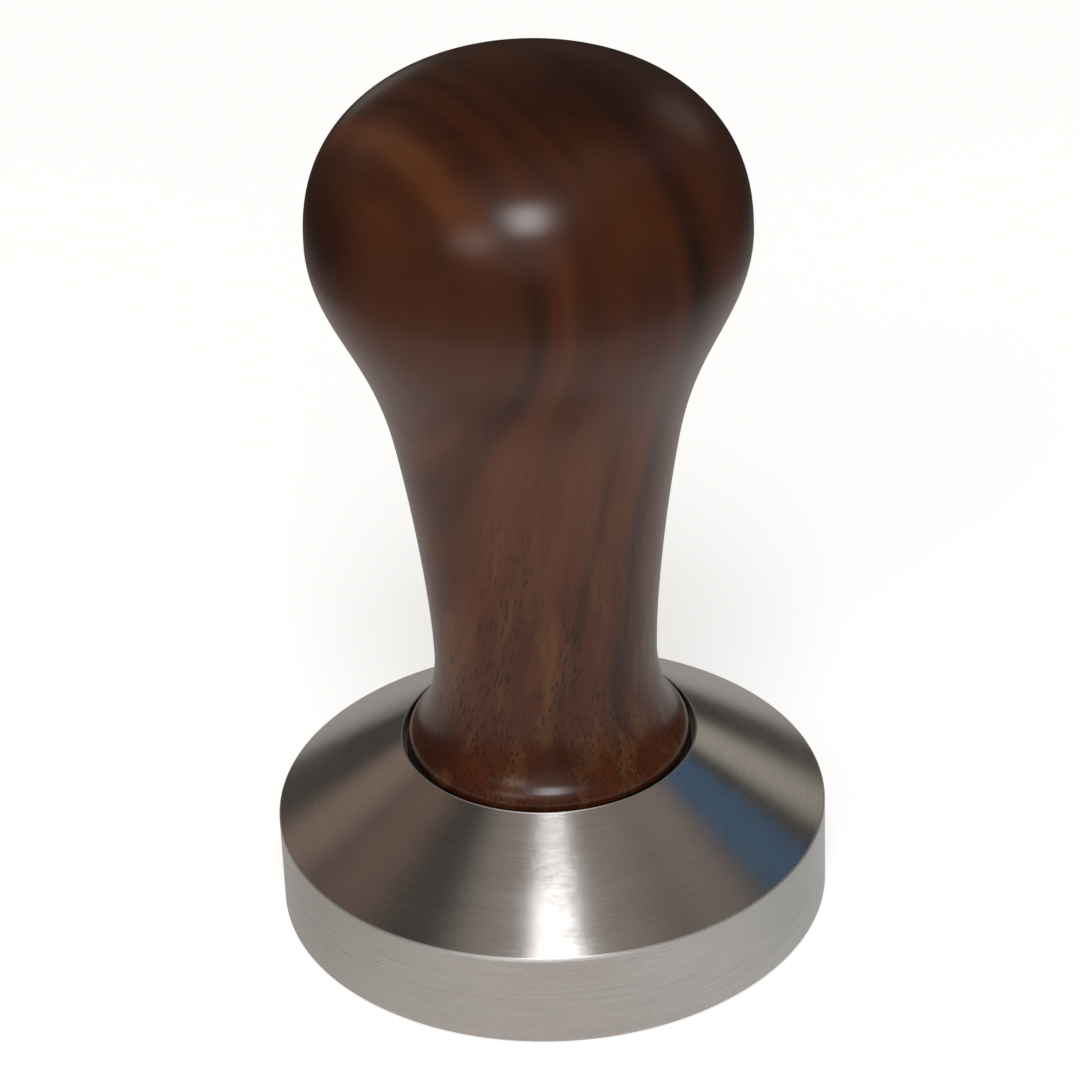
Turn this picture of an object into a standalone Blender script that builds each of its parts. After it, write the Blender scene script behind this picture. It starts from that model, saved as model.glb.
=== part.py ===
"""An espresso tamper: a turned steel base, and a turned walnut handle that screws onto it.

A set screw stands in the base's tapped hole. A slotted brass insert, cut into the wood by its own
coarse outer thread, runs on that screw. A flat rubber gasket lies in the recess between the two.
Metres, +Z up. The origin is the centre of the flat tamping face, and every piece is round about Z.
"""

import math

import bmesh
import bpy
from mathutils import Vector
from mathutils.geometry import interpolate_bezier

MM = 0.001

# Base: a short piston, with a cone that rises to the handle
BASE_RADIUS = 29.0 * MM
RIM_HEIGHT = 10.7 * MM
CONE_TOP_HEIGHT = 19.4 * MM
RECESS_RADIUS = 15.4 * MM
RECESS_DEPTH = 1.9 * MM
BOTTOM_CHAMFER = 0.5 * MM
EDGE_BREAK = 0.2 * MM
RECESS_FLOOR = CONE_TOP_HEIGHT - RECESS_DEPTH

# Gasket: a flat rubber ring in the recess
FACE_GAP = 0.3 * MM
GASKET_THICKNESS = 0.8 * MM
GASKET_RADIUS = 15.0 * MM
GASKET_HOLE_RADIUS = 8.0 * MM
GASKET_BOTTOM = RECESS_FLOOR + FACE_GAP

# Handle: foot, neck, knob and dome, as radii and heights
FOOT_BOTTOM = GASKET_BOTTOM + GASKET_THICKNESS + FACE_GAP
FOOT_RADIUS = 14.8 * MM
FOOT_EDGE_RADIUS = 0.9 * MM
FOOT_EDGE_ARC = 60.0
FOOT_SIDE_TOP = 20.4 * MM
FOOT_FLARE = -1.3
NECK_RADIUS = 11.6 * MM
NECK_HEIGHT = 29.2 * MM
WAIST_RADIUS = 14.6 * MM
WAIST_HEIGHT = 56.0 * MM
WAIST_SLOPE = 0.19
KNOB_RADIUS = 22.2 * MM
KNOB_HEIGHT = 78.4 * MM
HANDLE_TOP = 95.4 * MM
DOME_FLATNESS = 2.35

# How far each run of the handle's outline leans on its end slopes, as a share of its height
FOOT_PULLS = (0.20, 0.19)
NECK_PULLS = (0.27, 0.27)
KNOB_PULLS = (0.30, 0.52)

# M8 x 1.25 thread: the set screw's, and what it runs in
PITCH = 1.25 * MM
SCREW_RADIUS = 4.0 * MM
THREAD_DEPTH = 0.677 * MM
CREST_WIDTH = PITCH / 8
FLANK_TANGENT = math.tan(math.radians(30.0))
THREAD_CLEARANCE = 0.12 * MM

SCREW_LENGTH = 25.0 * MM
SCREW_BOTTOM = 7.0 * MM
SCREW_CHAMFER = 0.7 * MM
HEX_SOCKET_FLATS = 4.0 * MM
HEX_SOCKET_DEPTH = 4.5 * MM

TAPPED_HOLE_BOTTOM = 5.6 * MM
TAPPED_THREAD_BOTTOM = 6.3 * MM
TAPPED_HOLE_FLARE = 0.4 * MM
DRILL_POINT_ANGLE = math.radians(118.0)
DRILL_ALLOWANCE = 0.05 * MM

# Brass insert, with its coarse thread for wood, and the bore that it is driven into
INSERT_SINK = 0.3 * MM
INSERT_BOTTOM = FOOT_BOTTOM + INSERT_SINK
INSERT_LENGTH = 15.0 * MM
INSERT_CORE_RADIUS = 5.4 * MM
INSERT_CREST_RADIUS = 6.35 * MM
INSERT_CREST_WIDTH = 0.3 * MM
INSERT_CHAMFER = 0.6 * MM
INSERT_SLOT_WIDTH = 2.0 * MM
INSERT_SLOT_DEPTH = 2.4 * MM
WOOD_PITCH = 1.95 * MM
WOOD_CLEARANCE = 0.15 * MM
INSERT_HEADROOM = 1.0 * MM
WOOD_THREAD_TOP = INSERT_BOTTOM + INSERT_LENGTH + INSERT_HEADROOM
WOOD_BORE_TOP = 38.0 * MM
WOOD_BORE_FLARE = 0.5 * MM

# How finely the round shapes are divided, and how the dome's points crowd towards its top
TURNING_STEPS = 40
DOME_POINTS = 9
KNOB_POINTS = 9
NECK_POINTS = 5
FOOT_POINTS = 4
FOOT_EDGE_POINTS = 3
TOP_CROWDING = 1.2
THREAD_STEPS = 16
WOOD_THREAD_STEPS = 16
ENVELOPE_PHASE = 0.5

# How far a cutter reaches past the surface it cuts, and how near two points are the same point
CUTTER_REACH = 1.0 * MM
WELD_DISTANCE = 0.001 * MM

# Each thread: crest radius, crest width, depth, pitch, and steps in a turn
MALE_THREAD = (SCREW_RADIUS, CREST_WIDTH, THREAD_DEPTH, PITCH, THREAD_STEPS)
FEMALE_THREAD = (SCREW_RADIUS + THREAD_CLEARANCE, *MALE_THREAD[1:])
WOOD_THREAD = (
    INSERT_CREST_RADIUS,
    INSERT_CREST_WIDTH,
    INSERT_CREST_RADIUS - INSERT_CORE_RADIUS,
    WOOD_PITCH,
    WOOD_THREAD_STEPS,
)
WOOD_BORE_THREAD = (INSERT_CREST_RADIUS + WOOD_CLEARANCE, *WOOD_THREAD[1:])


def clear_scene():
    for scene_object in list(bpy.data.objects):
        bpy.data.objects.remove(scene_object, do_unlink=True)


def new_collection(name):
    collection = bpy.data.collections.new(name)
    bpy.context.scene.collection.children.link(collection)
    return collection


def new_material(name, colour, roughness, metallic=0.0):
    material = bpy.data.materials.new(name)
    material.use_nodes = True
    shader = material.node_tree.nodes["Principled BSDF"]
    shader.inputs["Base Color"].default_value = (*colour, 1.0)
    shader.inputs["Roughness"].default_value = roughness
    shader.inputs["Metallic"].default_value = metallic
    return material


def object_from_mesh(name, mesh, collection):
    made = bpy.data.objects.new(name, mesh)
    collection.objects.link(made)
    return made


def mark_cutter(cutter):
    cutter.hide_render = True
    cutter.display_type = "WIRE"
    return cutter


def primitive_cutter(name):
    """Names the primitive that was just added, and puts it among the cutters."""
    cutter = bpy.context.object
    cutter.name = name
    for collection in list(cutter.users_collection):
        collection.objects.unlink(cutter)
    cutters.objects.link(cutter)
    return mark_cutter(cutter)


def cut(target, tool, operation="DIFFERENCE"):
    modifier = target.modifiers.new(f"{operation.lower()} {tool.name}", "BOOLEAN")
    modifier.operation = operation
    modifier.object = tool


def add_screw(target, steps, lead=0.0, turns=1):
    """Sweeps the object's edges around Z, rising by lead in each turn."""
    screw = target.modifiers.new("Sweep", "SCREW")
    screw.axis = "Z"
    screw.steps = screw.render_steps = steps
    screw.screw_offset = lead
    screw.iterations = turns
    screw.use_merge_vertices = lead == 0.0
    screw.merge_threshold = WELD_DISTANCE
    screw.use_smooth_shade = False


def turned(name, outline, collection, steps=TURNING_STEPS, phase=0.0):
    """A body of revolution. The outline is (radius, height) pairs down the outer side.

    The phase turns its facets about Z, in steps, so that no two crossing pieces share an edge.
    """
    angle = phase * math.tau / steps
    mesh = bpy.data.meshes.new(name)
    points = [(r * math.cos(angle), r * math.sin(angle), height) for r, height in outline]
    edges = [(i, i + 1) for i in range(len(points) - 1)]
    mesh.from_pydata(points, edges, [])
    made = object_from_mesh(name, mesh, collection)
    add_screw(made, steps)
    return made


def threaded_body(name, thread, bottom, top, collection):
    """A right-hand threaded bar that reaches past bottom and top, with both its ends closed.

    Every thread of one pitch has a crest at height 0 and angle 0, so that mating threads mesh.
    """
    crest_radius, crest_width, depth, pitch, steps = thread
    root_radius = crest_radius - depth
    start = (math.floor(bottom / pitch) - 2) * pitch
    turns = math.ceil((top - start) / pitch) + 2
    crest_edge = crest_width / 2
    root_edge = crest_edge + FLANK_TANGENT * depth
    profile = [
        (root_radius, 0.0, start + pitch - root_edge),
        (root_radius, 0.0, start + root_edge),
        (crest_radius, 0.0, start + crest_edge),
        (crest_radius, 0.0, start - crest_edge),
        (root_radius, 0.0, start - root_edge),
    ]
    mesh = bpy.data.meshes.new(name)
    mesh.from_pydata(profile, [(0, 1), (1, 2), (2, 3), (3, 4)], [])
    body = object_from_mesh(name, mesh, collection)
    add_screw(body, steps, pitch, turns)
    graph = bpy.context.evaluated_depsgraph_get()
    closed = bmesh.new()
    closed.from_mesh(body.evaluated_get(graph).to_mesh())
    bmesh.ops.remove_doubles(closed, verts=closed.verts, dist=WELD_DISTANCE)
    ends = bmesh.ops.holes_fill(closed, edges=[e for e in closed.edges if e.is_boundary])
    bmesh.ops.poke(closed, faces=ends["faces"])
    bmesh.ops.recalc_face_normals(closed, faces=closed.faces)
    body.modifiers.clear()
    closed.to_mesh(body.data)
    closed.free()
    return body


def arc(centre_radius, centre_height, radius, start, end, count):
    """Points on an arc in the turning plane, with angles in degrees from the radial direction."""
    points = []
    for i in range(count + 1):
        angle = math.radians(start + (end - start) * i / count)
        across = radius * math.cos(angle)
        points.append((centre_radius + across, centre_height + radius * math.sin(angle)))
    return points


def smooth_run(start, start_slope, end, end_slope, pulls, count):
    """A curve down from start to end. A slope is the change of radius per unit of height."""
    start_pull, end_pull = pulls
    drop = start[1] - end[1]
    first_handle = (start[0] - start_slope * start_pull * drop, start[1] - start_pull * drop)
    second_handle = (end[0] + end_slope * end_pull * drop, end[1] + end_pull * drop)
    knots = [Vector((r, h, 0.0)) for r, h in (start, first_handle, second_handle, end)]
    return [(point.x, point.y) for point in interpolate_bezier(*knots, count + 1)]


def dome_outline(count):
    """The knob from its top down to its widest circle: a slightly squared quarter oval."""
    height = HANDLE_TOP - KNOB_HEIGHT
    power = 2 / DOME_FLATNESS
    points = [(0.0, HANDLE_TOP)]
    for i in range(1, count):
        angle = math.radians(90.0 * (1 - (i / count) ** TOP_CROWDING))
        radius = KNOB_RADIUS * math.cos(angle) ** power
        points.append((radius, KNOB_HEIGHT + height * math.sin(angle) ** power))
    return points


def handle_outline():
    knob = (KNOB_RADIUS, KNOB_HEIGHT)
    waist = (WAIST_RADIUS, WAIST_HEIGHT)
    neck = (NECK_RADIUS, NECK_HEIGHT)
    edge_centre = FOOT_RADIUS - FOOT_EDGE_RADIUS
    foot_edge = arc(
        edge_centre, FOOT_SIDE_TOP, FOOT_EDGE_RADIUS, FOOT_EDGE_ARC, 0.0, FOOT_EDGE_POINTS
    )
    outline = dome_outline(DOME_POINTS)
    outline += smooth_run(knob, 0.0, waist, WAIST_SLOPE, KNOB_PULLS, KNOB_POINTS)
    outline += smooth_run(waist, WAIST_SLOPE, neck, 0.0, NECK_PULLS, NECK_POINTS)[1:]
    outline += smooth_run(neck, 0.0, foot_edge[0], FOOT_FLARE, FOOT_PULLS, FOOT_POINTS)[1:]
    outline += foot_edge[1:]
    outline += [
        (FOOT_RADIUS, FOOT_BOTTOM + EDGE_BREAK),
        (FOOT_RADIUS - EDGE_BREAK, FOOT_BOTTOM),
        (0.0, FOOT_BOTTOM),
    ]
    return outline


def base_outline():
    return [
        (0.0, RECESS_FLOOR),
        (RECESS_RADIUS, RECESS_FLOOR),
        (RECESS_RADIUS, CONE_TOP_HEIGHT),
        (BASE_RADIUS - EDGE_BREAK, RIM_HEIGHT + EDGE_BREAK / 2),
        (BASE_RADIUS, RIM_HEIGHT - EDGE_BREAK),
        (BASE_RADIUS, BOTTOM_CHAMFER),
        (BASE_RADIUS - BOTTOM_CHAMFER, 0.0),
        (0.0, 0.0),
    ]


def trim(body, outline, steps):
    """Cuts a body down to what lies inside a turned outline."""
    envelope = turned(f"{body.name}_envelope", outline, cutters, steps, ENVELOPE_PHASE)
    cut(body, mark_cutter(envelope), "INTERSECT")


def cut_tapped_hole(target, thread, mouth, thread_end, end, flare):
    """Cuts a hole into the target: drilled to a point, tapped part of the way, and countersunk."""
    crest_radius, _, depth, _, steps = thread
    inward = 1.0 if end > mouth else -1.0
    drill_radius = crest_radius - depth - DRILL_ALLOWANCE
    point = end + inward * drill_radius / math.tan(DRILL_POINT_ANGLE / 2)
    outside = mouth - inward * CUTTER_REACH
    wide = crest_radius + CUTTER_REACH
    tap = threaded_body(f"{target.name}_tap", thread, min(outside, point), max(outside, point), cutters)
    outline = [
        (0.0, outside),
        (wide, outside),
        (wide, thread_end),
        (drill_radius, thread_end),
        (drill_radius, end),
        (0.0, point),
    ]
    mouth_radius = crest_radius + flare
    countersink_outline = [
        (0.0, outside),
        (mouth_radius + CUTTER_REACH, outside),
        (0.0, mouth + inward * mouth_radius),
    ]
    if inward > 0:
        outline.reverse()
        countersink_outline.reverse()
    trim(tap, outline, steps)
    countersink_name = f"{target.name}_countersink"
    countersink = turned(countersink_name, countersink_outline, cutters, steps, ENVELOPE_PHASE)
    cut(target, mark_cutter(tap))
    cut(target, mark_cutter(countersink))


def make_base(material):
    base = turned("base", base_outline(), parts)
    cut_tapped_hole(
        base,
        FEMALE_THREAD,
        mouth=RECESS_FLOOR,
        thread_end=TAPPED_THREAD_BOTTOM,
        end=TAPPED_HOLE_BOTTOM,
        flare=TAPPED_HOLE_FLARE,
    )
    base.data.materials.append(material)


def make_stud(material):
    """A socket set screw: a chamfered threaded rod with a hexagon socket in its upper end."""
    top = SCREW_BOTTOM + SCREW_LENGTH
    stud = threaded_body("threaded_stud", MALE_THREAD, SCREW_BOTTOM, top, parts)
    wide = SCREW_RADIUS + CUTTER_REACH
    end_radius = SCREW_RADIUS - SCREW_CHAMFER
    chamfer = wide - end_radius
    outline = [
        (0.0, top),
        (end_radius, top),
        (wide, top - chamfer),
        (wide, SCREW_BOTTOM + chamfer),
        (end_radius, SCREW_BOTTOM),
        (0.0, SCREW_BOTTOM),
    ]
    trim(stud, outline, THREAD_STEPS)
    bpy.ops.mesh.primitive_cylinder_add(
        vertices=6,
        radius=HEX_SOCKET_FLATS / math.sqrt(3.0),
        depth=2 * HEX_SOCKET_DEPTH,
        location=(0.0, 0.0, top),
    )
    cut(stud, primitive_cutter("stud_socket"))
    stud.data.materials.append(material)


def make_insert(material):
    """A slotted brass bush, threaded outside for the wood and inside for the stud."""
    top = INSERT_BOTTOM + INSERT_LENGTH
    insert = threaded_body("brass_insert", WOOD_THREAD, INSERT_BOTTOM, top, parts)
    wide = INSERT_CREST_RADIUS + CUTTER_REACH
    end_radius = INSERT_CORE_RADIUS - INSERT_CHAMFER
    outline = [
        (0.0, top),
        (end_radius, top),
        (wide, top - (wide - end_radius)),
        (wide, INSERT_BOTTOM),
        (0.0, INSERT_BOTTOM),
    ]
    trim(insert, outline, WOOD_THREAD_STEPS)
    tap = threaded_body("insert_tap", FEMALE_THREAD, INSERT_BOTTOM, top, cutters)
    bpy.ops.mesh.primitive_cube_add(
        size=1.0,
        location=(0.0, 0.0, INSERT_BOTTOM),
        scale=(4 * INSERT_CREST_RADIUS, INSERT_SLOT_WIDTH, 2 * INSERT_SLOT_DEPTH),
    )
    cut(insert, mark_cutter(tap))
    cut(insert, primitive_cutter("insert_slot"))
    insert.data.materials.append(material)


def make_gasket(material):
    top = GASKET_BOTTOM + GASKET_THICKNESS
    disc = [(0.0, top), (GASKET_RADIUS, top), (GASKET_RADIUS, GASKET_BOTTOM), (0.0, GASKET_BOTTOM)]
    gasket = turned("gasket", disc, parts)
    bpy.ops.mesh.primitive_cylinder_add(
        vertices=TURNING_STEPS,
        radius=GASKET_HOLE_RADIUS,
        depth=4 * GASKET_THICKNESS,
        location=(0.0, 0.0, GASKET_BOTTOM),
    )
    cut(gasket, primitive_cutter("gasket_hole"))
    gasket.data.materials.append(material)


def make_handle(material):
    handle = turned("handle", handle_outline(), parts)
    cut_tapped_hole(
        handle,
        WOOD_BORE_THREAD,
        mouth=FOOT_BOTTOM,
        thread_end=WOOD_THREAD_TOP,
        end=WOOD_BORE_TOP,
        flare=WOOD_BORE_FLARE,
    )
    handle.data.materials.append(material)


clear_scene()
parts = new_collection("espresso_tamper")
cutters = new_collection("cutters")
steel = new_material("turned_steel", (0.56, 0.55, 0.53), 0.3, 1.0)
bright_steel = new_material("stud_steel", (0.45, 0.45, 0.46), 0.35, 1.0)
brass = new_material("brass", (0.76, 0.58, 0.28), 0.35, 1.0)
rubber = new_material("black_rubber", (0.02, 0.02, 0.02), 0.7)
walnut = new_material("walnut", (0.13, 0.05, 0.025), 0.4)
make_base(steel)
make_stud(bright_steel)
make_insert(brass)
make_gasket(rubber)
make_handle(walnut)
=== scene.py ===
"""The looks of the espresso tamper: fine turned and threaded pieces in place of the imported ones.

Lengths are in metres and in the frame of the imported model: +Z up, the origin at the centre of the
flat tamping face. Materials measure in millimetres. The wood's growth layers, the steel's brushing
and the lacquer all come from nodes.
"""

import math

import bmesh
import bpy
from mathutils import Matrix, Vector
from mathutils.geometry import interpolate_bezier


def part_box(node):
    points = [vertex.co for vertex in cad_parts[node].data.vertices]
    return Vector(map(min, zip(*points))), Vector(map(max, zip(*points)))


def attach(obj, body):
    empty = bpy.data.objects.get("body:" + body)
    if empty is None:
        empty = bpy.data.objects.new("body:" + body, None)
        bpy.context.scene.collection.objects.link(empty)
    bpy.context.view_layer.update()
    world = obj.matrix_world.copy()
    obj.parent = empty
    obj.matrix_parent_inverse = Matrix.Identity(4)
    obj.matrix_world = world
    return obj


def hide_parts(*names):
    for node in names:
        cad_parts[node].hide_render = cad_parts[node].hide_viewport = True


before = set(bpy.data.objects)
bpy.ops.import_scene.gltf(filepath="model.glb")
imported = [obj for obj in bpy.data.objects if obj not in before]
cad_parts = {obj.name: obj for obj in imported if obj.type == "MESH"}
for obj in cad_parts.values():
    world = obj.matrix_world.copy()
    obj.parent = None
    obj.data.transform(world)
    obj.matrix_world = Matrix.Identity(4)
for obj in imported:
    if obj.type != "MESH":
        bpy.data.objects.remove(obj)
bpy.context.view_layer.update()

MM = 0.001
WELD_DISTANCE = 0.001 * MM
CUTTER_REACH = 1.0 * MM

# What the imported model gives
BASE_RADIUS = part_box("base")[1].x
CONE_TOP_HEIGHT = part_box("base")[1].z
GASKET_LOW, GASKET_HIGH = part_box("gasket")
STUD_LOW, STUD_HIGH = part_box("threaded_stud")
INSERT_LOW, INSERT_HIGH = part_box("brass_insert")
FOOT_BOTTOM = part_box("handle")[0].z
KNOB_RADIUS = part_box("handle")[1].x
HANDLE_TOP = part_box("handle")[1].z

# Base. A flare is what a hole's countersink adds to the radius of its thread.
RIM_HEIGHT = 10.7 * MM
RECESS_RADIUS = 15.4 * MM
RECESS_FLOOR = CONE_TOP_HEIGHT - 1.9 * MM
BOTTOM_CHAMFER = 0.5 * MM
LIP_BREAK = 0.12 * MM
RIM_ROUNDING = 0.32 * MM
BASE_THREAD_END = 6.3 * MM
BASE_HOLE_END = 5.6 * MM
BASE_HOLE_FLARE = 0.4 * MM

# Handle: pairs are (radius, height), slopes are radius per height, pulls shape the curves between
FOOT_RADIUS = 14.8 * MM
FOOT_EDGE_RADIUS = 2.0 * MM
FOOT_EDGE_ARC = 50.0
FOOT_EDGE_BREAK = 0.2 * MM
FOOT_SIDE_TOP = 19.4 * MM
FOOT_FLARE = -1.19
NECK = (11.6 * MM, 29.2 * MM)
WAIST = (14.6 * MM, 56.0 * MM)
WAIST_SLOPE = 0.19
KNOB_HEIGHT = 78.4 * MM
DOME_FLATNESS = 2.35
DOME_CROWDING = 1.2
FOOT_PULLS = (0.20, 0.19)
NECK_PULLS = (0.27, 0.27)
KNOB_PULLS = (0.30, 0.52)
BORE_THREAD_END = INSERT_HIGH.z + 1.0 * MM
BORE_END = 38.0 * MM
BORE_FLARE = 0.5 * MM

# Stud, insert and gasket
STUD_END_TAPER = 0.7 * MM
SOCKET_WIDTH = 4.0 * MM
SOCKET_DEPTH = 4.5 * MM
INSERT_END_TAPER = 0.6 * MM
SLOT_WIDTH = 2.0 * MM
SLOT_DEPTH = 2.4 * MM
GASKET_INNER_RADIUS = 8.0 * MM
GASKET_EDGE = 0.15 * MM

# Threads: crest radius, crest width, depth, pitch, steps in a turn
PITCH = 1.25 * MM
WOOD_PITCH = 1.95 * MM
FLANK_TANGENT = math.tan(math.radians(30.0))
MALE_THREAD = (4.0 * MM, PITCH / 8, 0.677 * MM, PITCH, 64)
FEMALE_THREAD = (4.12 * MM, *MALE_THREAD[1:])
WOOD_THREAD = (6.35 * MM, 0.3 * MM, 0.95 * MM, WOOD_PITCH, 64)
WOOD_BORE_THREAD = (6.5 * MM, *WOOD_THREAD[1:])
DRILL_ALLOWANCE = 0.05 * MM
DRILL_POINT_ANGLE = math.radians(118.0)

TURNING_STEPS = 192


def arc(centre, radius, start, end, count):
    """Points on an arc in the turning plane, with angles in degrees from the radial direction."""
    points = []
    for i in range(count + 1):
        angle = math.radians(start + (end - start) * i / count)
        across = radius * math.cos(angle)
        points.append((centre[0] + across, centre[1] + radius * math.sin(angle)))
    return points


def smooth_run(start, start_slope, end, end_slope, pulls, count):
    """A curve down from start to end. A slope is the change of radius per unit of height."""
    drop = start[1] - end[1]
    first = (start[0] - start_slope * pulls[0] * drop, start[1] - pulls[0] * drop)
    second = (end[0] + end_slope * pulls[1] * drop, end[1] + pulls[1] * drop)
    knots = [Vector((r, h, 0.0)) for r, h in (start, first, second, end)]
    return [(point.x, point.y) for point in interpolate_bezier(*knots, count + 1)]


def dome_outline(count):
    """The knob above its widest place: a flattened dome, with more points near its edge."""
    height = HANDLE_TOP - KNOB_HEIGHT
    power = 2 / DOME_FLATNESS
    points = [(0.0, HANDLE_TOP)]
    for i in range(1, count):
        angle = math.radians(90.0 * (1 - (i / count) ** DOME_CROWDING))
        radius = KNOB_RADIUS * math.cos(angle) ** power
        points.append((radius, KNOB_HEIGHT + height * math.sin(angle) ** power))
    return points


def handle_outline():
    """The handle from the top of the knob down to the flat under the foot."""
    edge_centre = (FOOT_RADIUS - FOOT_EDGE_RADIUS, FOOT_SIDE_TOP)
    foot_edge = arc(edge_centre, FOOT_EDGE_RADIUS, FOOT_EDGE_ARC, 0.0, 10)
    outline = dome_outline(44)
    outline += smooth_run((KNOB_RADIUS, KNOB_HEIGHT), 0.0, WAIST, WAIST_SLOPE, KNOB_PULLS, 40)
    outline += smooth_run(WAIST, WAIST_SLOPE, NECK, 0.0, NECK_PULLS, 30)[1:]
    outline += smooth_run(NECK, 0.0, foot_edge[0], FOOT_FLARE, FOOT_PULLS, 24)[1:]
    outline += foot_edge[1:]
    break_centre = (FOOT_RADIUS - FOOT_EDGE_BREAK, FOOT_BOTTOM + FOOT_EDGE_BREAK)
    outline += arc(break_centre, FOOT_EDGE_BREAK, 0.0, -90.0, 4)
    outline.append((0.0, FOOT_BOTTOM))
    return outline


def base_outline():
    """The base from the recess floor over the lip, down the cone and the band to the face."""
    cone_run = BASE_RADIUS - RECESS_RADIUS
    slope = math.degrees(math.atan2(cone_run, CONE_TOP_HEIGHT - RIM_HEIGHT))
    drop = RIM_ROUNDING * math.tan(math.radians(slope / 2))
    lip_centre = (RECESS_RADIUS + LIP_BREAK, CONE_TOP_HEIGHT - LIP_BREAK)
    rim_centre = (BASE_RADIUS - RIM_ROUNDING, RIM_HEIGHT - drop)
    outline = [(0.0, RECESS_FLOOR), (RECESS_RADIUS, RECESS_FLOOR)]
    outline += arc(lip_centre, LIP_BREAK, 180.0, slope, 5)
    outline += arc(rim_centre, RIM_ROUNDING, slope, 0.0, 8)
    outline += [
        (BASE_RADIUS, BOTTOM_CHAMFER),
        (BASE_RADIUS - BOTTOM_CHAMFER, 0.0),
        (0.0, 0.0),
    ]
    return outline


def add_object(name, data):
    made = bpy.data.objects.new(name, data)
    bpy.context.scene.collection.objects.link(made)
    return made


def apply_modifiers(made):
    graph = bpy.context.evaluated_depsgraph_get()
    mesh = bpy.data.meshes.new_from_object(made.evaluated_get(graph))
    made.modifiers.clear()
    made.data = mesh
    return made


def swept(name, points, steps, lead=0.0, turns=1):
    """The points, joined in a line and swept round Z, rising by lead in each turn."""
    mesh = bpy.data.meshes.new(name)
    mesh.from_pydata(points, [(i, i + 1) for i in range(len(points) - 1)], [])
    made = add_object(name, mesh)
    screw = made.modifiers.new("Sweep", "SCREW")
    screw.steps = screw.render_steps = steps
    screw.screw_offset = lead
    screw.iterations = turns
    screw.use_merge_vertices = lead == 0.0
    screw.merge_threshold = WELD_DISTANCE
    return apply_modifiers(made)


def turned(name, outline, steps=TURNING_STEPS, phase=0.0):
    """A body of revolution. The outline is (radius, height) pairs down the outer side."""
    angle = phase * math.tau / steps
    points = [(r * math.cos(angle), r * math.sin(angle), height) for r, height in outline]
    return swept(name, points, steps)


def seal(body):
    """Welds a swept body's seams, caps its open ends and turns its faces outward."""
    mesh = bmesh.new()
    mesh.from_mesh(body.data)
    bmesh.ops.remove_doubles(mesh, verts=mesh.verts, dist=WELD_DISTANCE)
    ends = bmesh.ops.holes_fill(mesh, edges=[e for e in mesh.edges if e.is_boundary])
    bmesh.ops.poke(mesh, faces=ends["faces"])
    bmesh.ops.recalc_face_normals(mesh, faces=mesh.faces)
    mesh.to_mesh(body.data)
    mesh.free()


def threaded_body(name, thread, bottom, top):
    """A right-hand threaded bar that reaches past bottom and top, with both its ends closed."""
    crest_radius, crest_width, depth, pitch, steps = thread
    root_radius = crest_radius - depth
    start = (math.floor(bottom / pitch) - 2) * pitch
    turns = math.ceil((top - start) / pitch) + 2
    crest_edge = crest_width / 2
    root_edge = crest_edge + FLANK_TANGENT * depth
    profile = [
        (root_radius, 0.0, start + pitch - root_edge),
        (root_radius, 0.0, start + root_edge),
        (crest_radius, 0.0, start + crest_edge),
        (crest_radius, 0.0, start - crest_edge),
        (root_radius, 0.0, start - root_edge),
    ]
    body = swept(name, profile, steps, pitch, turns)
    seal(body)
    return body


def cut(target, tool, operation="DIFFERENCE"):
    """Applies one Boolean and removes its tool."""
    modifier = target.modifiers.new(operation, "BOOLEAN")
    modifier.operation = operation
    modifier.object = tool
    apply_modifiers(target)
    bpy.data.objects.remove(tool, do_unlink=True)


def trim(body, outline, steps):
    """Cuts a body down to what lies inside a turned outline."""
    cut(body, turned(f"{body.name}_envelope", outline, steps, 0.5), "INTERSECT")


def cut_tapped_hole(target, thread, mouth, thread_end, end, flare):
    """Cuts a hole into the target: drilled to a point, tapped part of the way, and countersunk."""
    crest_radius, _, depth, _, steps = thread
    inward = 1.0 if end > mouth else -1.0
    drill_radius = crest_radius - depth - DRILL_ALLOWANCE
    point = end + inward * drill_radius / math.tan(DRILL_POINT_ANGLE / 2)
    outside = mouth - inward * CUTTER_REACH
    wide = crest_radius + CUTTER_REACH
    tap = threaded_body(f"{target.name}_tap", thread, min(outside, point), max(outside, point))
    outline = [
        (0.0, outside),
        (wide, outside),
        (wide, thread_end),
        (drill_radius, thread_end),
        (drill_radius, end),
        (0.0, point),
    ]
    mouth_radius = crest_radius + flare
    countersink = [
        (0.0, outside),
        (mouth_radius + CUTTER_REACH, outside),
        (0.0, mouth + inward * mouth_radius),
    ]
    if inward > 0:
        outline.reverse()
        countersink.reverse()
    trim(tap, outline, steps)
    cut(target, tap)
    cut(target, turned(f"{target.name}_countersink", countersink, steps, 0.5))


def finish_piece(piece, material, body, node, sharp_angle=32.0):
    """Gives a piece its material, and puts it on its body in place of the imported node."""
    piece.data.materials.clear()
    piece.data.materials.append(material)
    piece.data.shade_smooth()
    piece.data.set_sharp_from_angle(angle=math.radians(sharp_angle))
    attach(piece, body)
    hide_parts(node)


# ---------------------------------------------------------------- materials


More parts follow.
